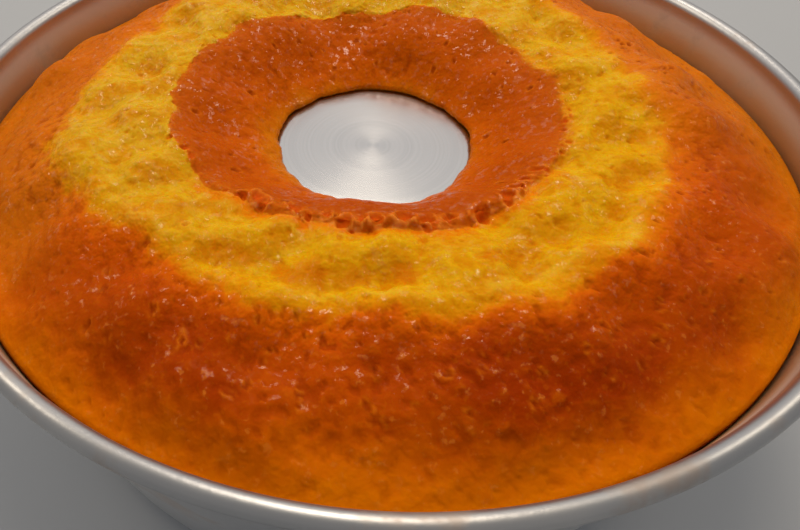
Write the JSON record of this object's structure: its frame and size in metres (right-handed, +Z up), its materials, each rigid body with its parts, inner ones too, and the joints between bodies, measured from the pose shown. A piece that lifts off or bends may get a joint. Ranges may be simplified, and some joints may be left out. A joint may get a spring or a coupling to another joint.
{
  "type": "orange cake",
  "caption": "Domed ring-shaped orange cake, its browned crust burst open in a golden ring, still in its round aluminium tube tin with a rolled rim.",
  "frame": {"origin": "middle of the tin's flat foot, on the surface that it stands on", "axes": "+Z up along the tin's tube, -Y towards the pictured front, +X to the viewer's right"},
  "size_m": [0.25, 0.25, 0.0934],
  "materials": {
    "tin": "spun satin, ring-brushed on the tube's top",
    "cake": "browned crust with open golden crumb, slightly moist"
  },
  "bodies": {
    "root": {"tin": "tin", "cake": "cake"}
  },
  "joints": []
}
